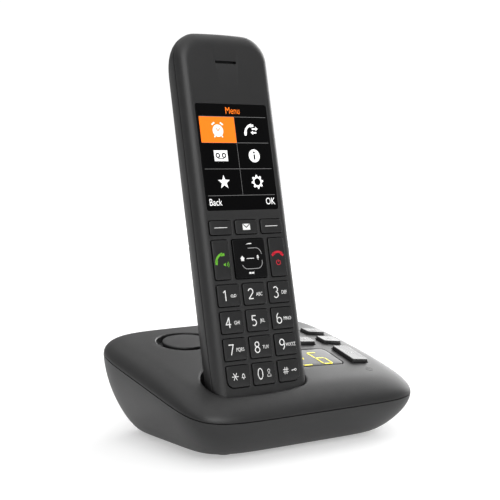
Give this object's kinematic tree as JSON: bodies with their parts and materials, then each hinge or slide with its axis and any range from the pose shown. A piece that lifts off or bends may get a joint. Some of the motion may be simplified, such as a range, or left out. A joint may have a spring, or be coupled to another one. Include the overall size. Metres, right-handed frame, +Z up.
{
  "type": "cordless telephone",
  "caption": "Cordless telephone handset with colour screen and keypad, leaning in a low charging base with an answering machine.",
  "frame": {"origin": "on the table under the middle of the whole object", "axes": "+Z up, -Y towards the user who faces the keypad, +X to that user's right"},
  "size_m": [0.115, 0.091, 0.1692],
  "materials": {
    "body_plastic": "fine satin grain, anthracite",
    "key_plastic": "satin, slightly darker than the body",
    "base_key_plastic": "satin tops with polished edges",
    "display_pane": "clear hard-coated black pane",
    "navigation_gloss": "polished black",
    "counter_pane": "smoked pane",
    "display_module": "black frame",
    "board": "green solder mask",
    "silicone": "matt translucent grey",
    "steel": "plain steel",
    "contact_gold": "gold-plated",
    "cell_sleeve": "printed-free shrink sleeve",
    "foot_rubber": "matt black",
    "socket_plastic": "moulded black"
  },
  "bodies": {
    "base": {"base_top_cover": "body_plastic", "base_bottom_cover": "body_plastic", "speaker_cover": "body_plastic", "base_loudspeaker": "steel", "counter_window": "counter_pane", "counter_module": "display_module", "control_board": "board", "base_circuit_board": "board", "power_socket": "socket_plastic", "line_socket": "socket_plastic", "base_screw_left": "steel", "base_screw_right": "steel", "foot_front_left": "foot_rubber", "foot_front_right": "foot_rubber", "foot_rear_left": "foot_rubber", "foot_rear_right": "foot_rubber"},
    "handset": {"handset_front_cover": "body_plastic", "handset_rear_cover": "body_plastic", "display_window": "display_pane", "lcd_module": "display_module", "handset_circuit_board": "board", "keypad_mat": "silicone", "earpiece_speaker": "steel", "ringer_speaker": "steel", "microphone": "steel", "battery_cell_left": "cell_sleeve", "battery_cell_right": "cell_sleeve", "battery_contact_lower": "steel", "battery_contact_upper": "steel", "charging_pad_left": "contact_gold", "charging_pad_right": "contact_gold", "handset_screw": "steel"},
    "battery_lid": {"battery_cover": "body_plastic"},
    "soft_key_left_cap": {"soft_key_left": "key_plastic"},
    "message_key_cap": {"message_key": "key_plastic"},
    "soft_key_right_cap": {"soft_key_right": "key_plastic"},
    "talk_key_cap": {"talk_key": "key_plastic"},
    "navigation_key_cap": {"navigation_key": "navigation_gloss"},
    "end_key_cap": {"end_key": "key_plastic"},
    "digit_key_1_cap": {"digit_key_1": "key_plastic"},
    "digit_key_2_cap": {"digit_key_2": "key_plastic"},
    "digit_key_3_cap": {"digit_key_3": "key_plastic"},
    "digit_key_4_cap": {"digit_key_4": "key_plastic"},
    "digit_key_5_cap": {"digit_key_5": "key_plastic"},
    "digit_key_6_cap": {"digit_key_6": "key_plastic"},
    "digit_key_7_cap": {"digit_key_7": "key_plastic"},
    "digit_key_8_cap": {"digit_key_8": "key_plastic"},
    "digit_key_9_cap": {"digit_key_9": "key_plastic"},
    "digit_key_star_cap": {"digit_key_star": "key_plastic"},
    "digit_key_0_cap": {"digit_key_0": "key_plastic"},
    "digit_key_hash_cap": {"digit_key_hash": "key_plastic"},
    "volume_down_key_cap": {"volume_down_key": "base_key_plastic"},
    "volume_up_key_cap": {"volume_up_key": "base_key_plastic"},
    "answer_on_key_cap": {"answer_on_key": "base_key_plastic"},
    "delete_key_cap": {"delete_key": "base_key_plastic"},
    "skip_back_key_cap": {"skip_back_key": "base_key_plastic"},
    "skip_forward_key_cap": {"skip_forward_key": "base_key_plastic"},
    "play_stop_key_cap": {"play_stop_key": "base_key_plastic"},
    "cradle_contact_left_cap": {"cradle_contact_left": "contact_gold"},
    "cradle_contact_right_cap": {"cradle_contact_right": "contact_gold"}
  },
  "joints": [
    {"name": "handset_lift", "type": "slide", "parent": "base", "child": "handset", "axis": [0, 0.2096, 0.9778], "range_m": [0, 0.08]},
    {"name": "battery_cover_swing", "type": "hinge", "parent": "handset", "child": "battery_lid", "pos_m": [-0.0207, -0.01334, 0.03453], "axis": [-1, 0, 0], "range_deg": [0, 40]},
    {"name": "soft_key_left_press", "type": "slide", "parent": "handset", "child": "soft_key_left_cap", "axis": [0, 0.9778, -0.2096], "range_m": [0, 0.0007], "stiffness_N_per_m": 2000, "springref_m": -0.0001},
    {"name": "message_key_press", "type": "slide", "parent": "handset", "child": "message_key_cap", "axis": [0, 0.9778, -0.2096], "range_m": [0, 0.0007], "stiffness_N_per_m": 2000, "springref_m": -0.0001},
    {"name": "soft_key_right_press", "type": "slide", "parent": "handset", "child": "soft_key_right_cap", "axis": [0, 0.9778, -0.2096], "range_m": [0, 0.0007], "stiffness_N_per_m": 2000, "springref_m": -0.0001},
    {"name": "talk_key_press", "type": "slide", "parent": "handset", "child": "talk_key_cap", "axis": [0, 0.9778, -0.2096], "range_m": [0, 0.0007], "stiffness_N_per_m": 2000, "springref_m": -0.0001},
    {"name": "navigation_key_press", "type": "slide", "parent": "handset", "child": "navigation_key_cap", "axis": [0, 0.9778, -0.2096], "range_m": [0, 0.0007], "stiffness_N_per_m": 2000, "springref_m": -0.0001},
    {"name": "end_key_press", "type": "slide", "parent": "handset", "child": "end_key_cap", "axis": [0, 0.9778, -0.2096], "range_m": [0, 0.0007], "stiffness_N_per_m": 2000, "springref_m": -0.0001},
    {"name": "digit_key_1_press", "type": "slide", "parent": "handset", "child": "digit_key_1_cap", "axis": [0, 0.9778, -0.2096], "range_m": [0, 0.0007], "stiffness_N_per_m": 2000, "springref_m": -0.0001},
    {"name": "digit_key_2_press", "type": "slide", "parent": "handset", "child": "digit_key_2_cap", "axis": [0, 0.9778, -0.2096], "range_m": [0, 0.0007], "stiffness_N_per_m": 2000, "springref_m": -0.0001},
    {"name": "digit_key_3_press", "type": "slide", "parent": "handset", "child": "digit_key_3_cap", "axis": [0, 0.9778, -0.2096], "range_m": [0, 0.0007], "stiffness_N_per_m": 2000, "springref_m": -0.0001},
    {"name": "digit_key_4_press", "type": "slide", "parent": "handset", "child": "digit_key_4_cap", "axis": [0, 0.9778, -0.2096], "range_m": [0, 0.0007], "stiffness_N_per_m": 2000, "springref_m": -0.0001},
    {"name": "digit_key_5_press", "type": "slide", "parent": "handset", "child": "digit_key_5_cap", "axis": [0, 0.9778, -0.2096], "range_m": [0, 0.0007], "stiffness_N_per_m": 2000, "springref_m": -0.0001},
    {"name": "digit_key_6_press", "type": "slide", "parent": "handset", "child": "digit_key_6_cap", "axis": [0, 0.9778, -0.2096], "range_m": [0, 0.0007], "stiffness_N_per_m": 2000, "springref_m": -0.0001},
    {"name": "digit_key_7_press", "type": "slide", "parent": "handset", "child": "digit_key_7_cap", "axis": [0, 0.9778, -0.2096], "range_m": [0, 0.0007], "stiffness_N_per_m": 2000, "springref_m": -0.0001},
    {"name": "digit_key_8_press", "type": "slide", "parent": "handset", "child": "digit_key_8_cap", "axis": [0, 0.9778, -0.2096], "range_m": [0, 0.0007], "stiffness_N_per_m": 2000, "springref_m": -0.0001},
    {"name": "digit_key_9_press", "type": "slide", "parent": "handset", "child": "digit_key_9_cap", "axis": [0, 0.9778, -0.2096], "range_m": [0, 0.0007], "stiffness_N_per_m": 2000, "springref_m": -0.0001},
    {"name": "digit_key_star_press", "type": "slide", "parent": "handset", "child": "digit_key_star_cap", "axis": [0, 0.9778, -0.2096], "range_m": [0, 0.0007], "stiffness_N_per_m": 2000, "springref_m": -0.0001},
    {"name": "digit_key_0_press", "type": "slide", "parent": "handset", "child": "digit_key_0_cap", "axis": [0, 0.9778, -0.2096], "range_m": [0, 0.0007], "stiffness_N_per_m": 2000, "springref_m": -0.0001},
    {"name": "digit_key_hash_press", "type": "slide", "parent": "handset", "child": "digit_key_hash_cap", "axis": [0, 0.9778, -0.2096], "range_m": [0, 0.0007], "stiffness_N_per_m": 2000, "springref_m": -0.0001},
    {"name": "volume_down_key_press", "type": "slide", "parent": "base", "child": "volume_down_key_cap", "axis": [-0.0267, 0.1326, -0.9908], "range_m": [0, 0.0008], "stiffness_N_per_m": 2000, "springref_m": -0.0001},
    {"name": "volume_up_key_press", "type": "slide", "parent": "base", "child": "volume_up_key_cap", "axis": [-0.0673, 0.1446, -0.9872], "range_m": [0, 0.0008], "stiffness_N_per_m": 2000, "springref_m": -0.0001},
    {"name": "answer_on_key_press", "type": "slide", "parent": "base", "child": "answer_on_key_cap", "axis": [-0.1107, 0.1691, -0.9794], "range_m": [0, 0.0008], "stiffness_N_per_m": 2000, "springref_m": -0.0001},
    {"name": "delete_key_press", "type": "slide", "parent": "base", "child": "delete_key_cap", "axis": [-0.0294, 0.2164, -0.9759], "range_m": [0, 0.0008], "stiffness_N_per_m": 2000, "springref_m": -0.0001},
    {"name": "skip_back_key_press", "type": "slide", "parent": "base", "child": "skip_back_key_cap", "axis": [-0.0744, 0.215, -0.9738], "range_m": [0, 0.0008], "stiffness_N_per_m": 2000, "springref_m": -0.0001},
    {"name": "skip_forward_key_press", "type": "slide", "parent": "base", "child": "skip_forward_key_cap", "axis": [-0.1212, 0.2071, -0.9708], "range_m": [0, 0.0008], "stiffness_N_per_m": 2000, "springref_m": -0.0001},
    {"name": "play_stop_key_press", "type": "slide", "parent": "base", "child": "play_stop_key_cap", "axis": [-0.0965, 0.2617, -0.9603], "range_m": [0, 0.0008], "stiffness_N_per_m": 2000, "springref_m": -0.0001},
    {"name": "cradle_contact_left_press", "type": "slide", "parent": "base", "child": "cradle_contact_left_cap", "axis": [0, -0.2096, -0.9778], "range_m": [0, 0.001], "stiffness_N_per_m": 400, "springref_m": -0.0005},
    {"name": "cradle_contact_right_press", "type": "slide", "parent": "base", "child": "cradle_contact_right_cap", "axis": [0, -0.2096, -0.9778], "range_m": [0, 0.001], "stiffness_N_per_m": 400, "springref_m": -0.0005}
  ]
}
